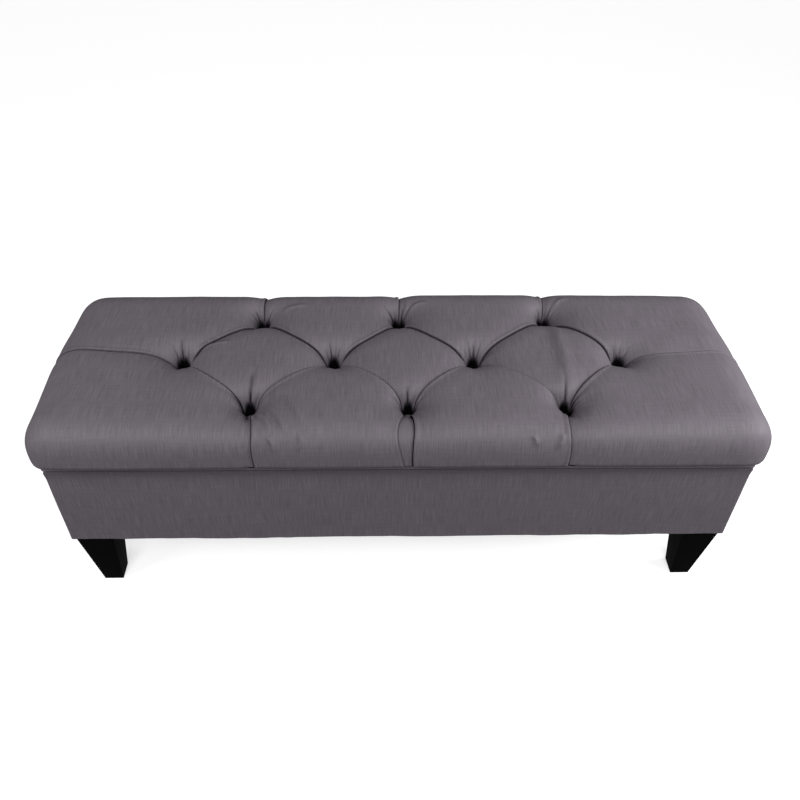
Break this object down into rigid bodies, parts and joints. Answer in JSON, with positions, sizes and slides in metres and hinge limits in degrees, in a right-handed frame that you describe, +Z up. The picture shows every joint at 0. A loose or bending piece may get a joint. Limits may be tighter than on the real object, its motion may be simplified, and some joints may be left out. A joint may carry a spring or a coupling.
{
  "type": "storage bench",
  "caption": "Rectangular upholstered storage bench: a deep-buttoned hinged lid over a fabric-covered box on square tapered legs, held open by stays.",
  "frame": {"origin": "on the floor, under the middle of the bench", "axes": "+X along the bench's length to the viewer's right, the front faces -Y, +Z up"},
  "size_m": [1.3, 0.448, 0.45],
  "materials": {
    "upholstery": "linen-look weave, matt grey with a faint purple tint",
    "lining_cloth": "black non-woven cloth, matt",
    "plywood": "bare, lightly sanded",
    "leg_wood": "near-black satin lacquer",
    "foam": "cream upholstery foam",
    "zinc_steel": "zinc plated",
    "dark_plastic": "moulded, slightly textured",
    "twine": "waxed cotton"
  },
  "bodies": {
    "box": {"front_panel": "plywood", "back_panel": "plywood", "left_panel": "plywood", "right_panel": "plywood", "bottom_panel": "plywood", "box_cover": "upholstery", "box_lining": "lining_cloth", "bottom_dust_cloth": "lining_cloth", "leg_front_left": "leg_wood", "leg_front_right": "leg_wood", "leg_back_left": "leg_wood", "leg_back_right": "leg_wood", "leg_bolt_front_left": "zinc_steel", "leg_bolt_front_right": "zinc_steel", "leg_bolt_back_left": "zinc_steel", "leg_bolt_back_right": "zinc_steel", "corner_block_front_left": "plywood", "corner_block_front_right": "plywood", "corner_block_back_left": "plywood", "corner_block_back_right": "plywood", "left_hinge_box_leaf": "zinc_steel", "right_hinge_box_leaf": "zinc_steel", "left_hinge_pin": "zinc_steel", "right_hinge_pin": "zinc_steel", "left_stay_housing": "dark_plastic", "right_stay_housing": "dark_plastic", "lid_buffer_left": "dark_plastic", "lid_buffer_right": "dark_plastic"},
    "lid": {"lid_board": "plywood", "seat_foam": "foam", "lid_cover": "upholstery", "lid_lining": "lining_cloth", "button_front_1": "upholstery", "button_front_2": "upholstery", "button_front_3": "upholstery", "button_middle_1": "upholstery", "button_middle_2": "upholstery", "button_middle_3": "upholstery", "button_middle_4": "upholstery", "button_back_1": "upholstery", "button_back_2": "upholstery", "button_back_3": "upholstery", "button_twine_front_1": "twine", "button_twine_front_2": "twine", "button_twine_front_3": "twine", "button_twine_middle_1": "twine", "button_twine_middle_2": "twine", "button_twine_middle_3": "twine", "button_twine_middle_4": "twine", "button_twine_back_1": "twine", "button_twine_back_2": "twine", "button_twine_back_3": "twine", "left_hinge_lid_leaf": "zinc_steel", "right_hinge_lid_leaf": "zinc_steel", "left_stay_lid_bracket": "zinc_steel", "right_stay_lid_bracket": "zinc_steel"},
    "left_stay_lever": {"left_stay_lever": "zinc_steel"},
    "left_stay_link": {"left_stay_link": "zinc_steel"},
    "right_stay_lever": {"right_stay_lever": "zinc_steel"},
    "right_stay_link": {"right_stay_link": "zinc_steel"}
  },
  "joints": [
    {"name": "lid_hinge", "type": "hinge", "parent": "box", "child": "lid", "pos_m": [0, 0.2086, 0.3408], "axis": [-1, 0, 0], "range_deg": [0, 85]},
    {"name": "left_stay_pivot", "type": "hinge", "parent": "box", "child": "left_stay_lever", "pos_m": [-0.5891, 0.1626, 0.2358], "axis": [-1, 0, 0], "range_deg": [0, 85]},
    {"name": "left_stay_elbow", "type": "hinge", "parent": "left_stay_lever", "child": "left_stay_link", "pos_m": [-0.5864, 0.0126, 0.2178], "axis": [-1, 0, 0], "range_deg": [-85, 0]},
    {"name": "right_stay_pivot", "type": "hinge", "parent": "box", "child": "right_stay_lever", "pos_m": [0.5891, 0.1626, 0.2358], "axis": [-1, 0, 0], "range_deg": [0, 85]},
    {"name": "right_stay_elbow", "type": "hinge", "parent": "right_stay_lever", "child": "right_stay_link", "pos_m": [0.5864, 0.0126, 0.2178], "axis": [-1, 0, 0], "range_deg": [-85, 0]}
  ],
  "couplings": [
    {"joint": "left_stay_pivot", "follows": "lid_hinge", "ratio": 1},
    {"joint": "left_stay_elbow", "follows": "lid_hinge", "ratio": -1},
    {"joint": "right_stay_pivot", "follows": "lid_hinge", "ratio": 1},
    {"joint": "right_stay_elbow", "follows": "lid_hinge", "ratio": -1}
  ]
}
